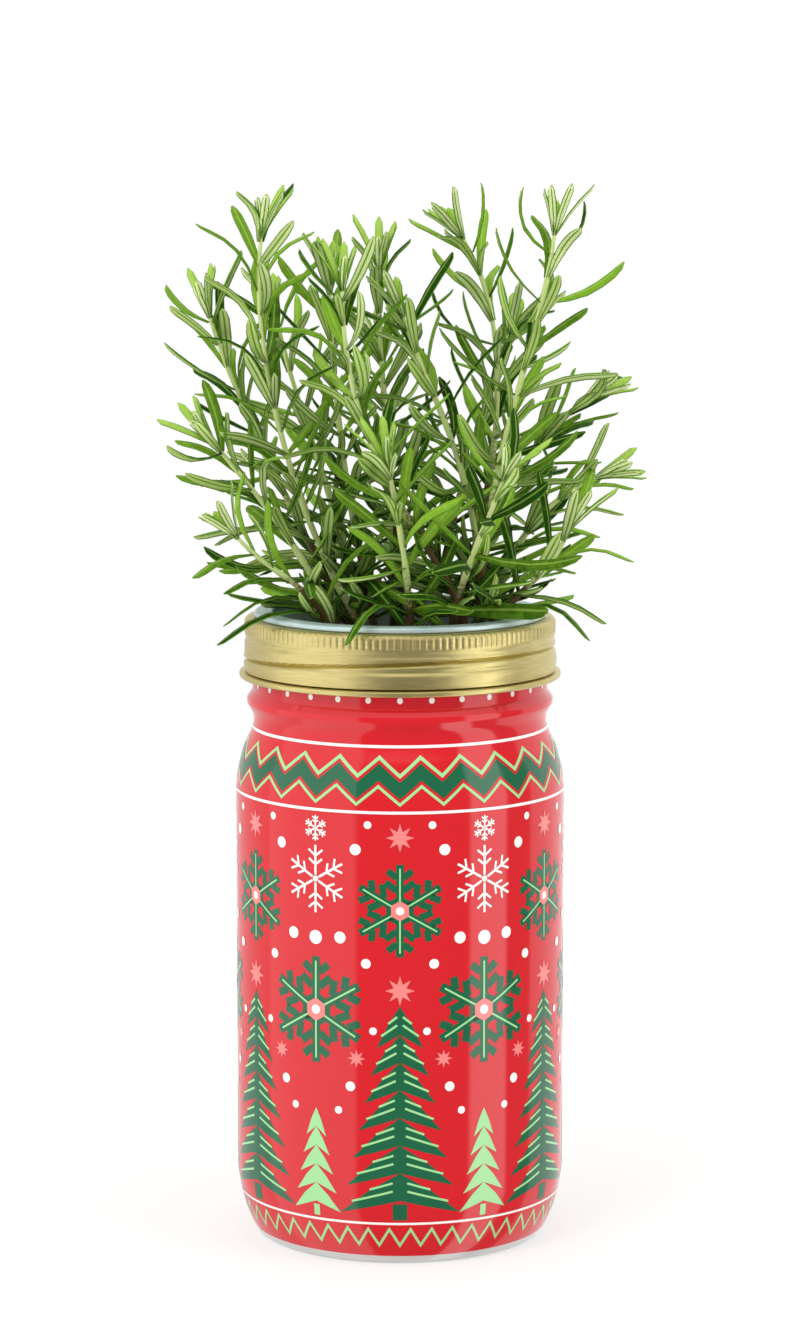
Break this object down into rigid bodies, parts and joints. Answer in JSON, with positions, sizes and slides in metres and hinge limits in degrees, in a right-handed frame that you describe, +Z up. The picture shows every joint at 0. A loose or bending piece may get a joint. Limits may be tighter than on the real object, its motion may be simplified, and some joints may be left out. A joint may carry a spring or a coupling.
{
  "type": "hydroponic jar planter",
  "caption": "Wick-fed jar planter: a wide-mouth glass jar in a red printed film, with a gold screw band and a slotted steel cup that holds a rosemary plant and a felt wick.",
  "frame": {"origin": "centre of the base, on the surface that the jar stands on", "axes": "+Z up along the jar's axis, front towards -Y"},
  "size_m": [0.1422, 0.1346, 0.3012],
  "materials": {
    "clear_glass": "clear, smooth",
    "printed_film": null,
    "gold_plate": "gold lacquer, satin",
    "satin_steel": "satin",
    "coir": "damp, fibrous",
    "felt": "felted",
    "rosemary": "green leaves on woody stems"
  },
  "bodies": {
    "jar": {"glass_jar": "clear_glass", "printed_sleeve": "printed_film"},
    "band": {"screw_band": "gold_plate"},
    "grow_cup": {"net_cup": "satin_steel", "grow_medium": "coir", "felt_wick": "felt", "rosemary_stem_01": "rosemary", "rosemary_stem_02": "rosemary", "rosemary_stem_03": "rosemary", "rosemary_stem_04": "rosemary", "rosemary_stem_05": "rosemary", "rosemary_stem_06": "rosemary", "rosemary_stem_07": "rosemary", "rosemary_stem_08": "rosemary", "rosemary_stem_09": "rosemary", "rosemary_stem_10": "rosemary", "rosemary_stem_11": "rosemary", "rosemary_stem_12": "rosemary", "rosemary_stem_13": "rosemary", "rosemary_stem_14": "rosemary", "rosemary_stem_15": "rosemary", "rosemary_stem_16": "rosemary", "rosemary_stem_17": "rosemary", "rosemary_stem_18": "rosemary"}
  },
  "joints": [
    {"name": "band_turn", "type": "hinge", "parent": "jar", "child": "band", "pos_m": [0, 0, 0.17], "axis": [0, 0, 1], "range_deg": [0, 360]},
    {"name": "cup_lift", "type": "slide", "parent": "jar", "child": "grow_cup", "axis": [0, 0, 1], "range_m": [0, 0.175]}
  ]
}
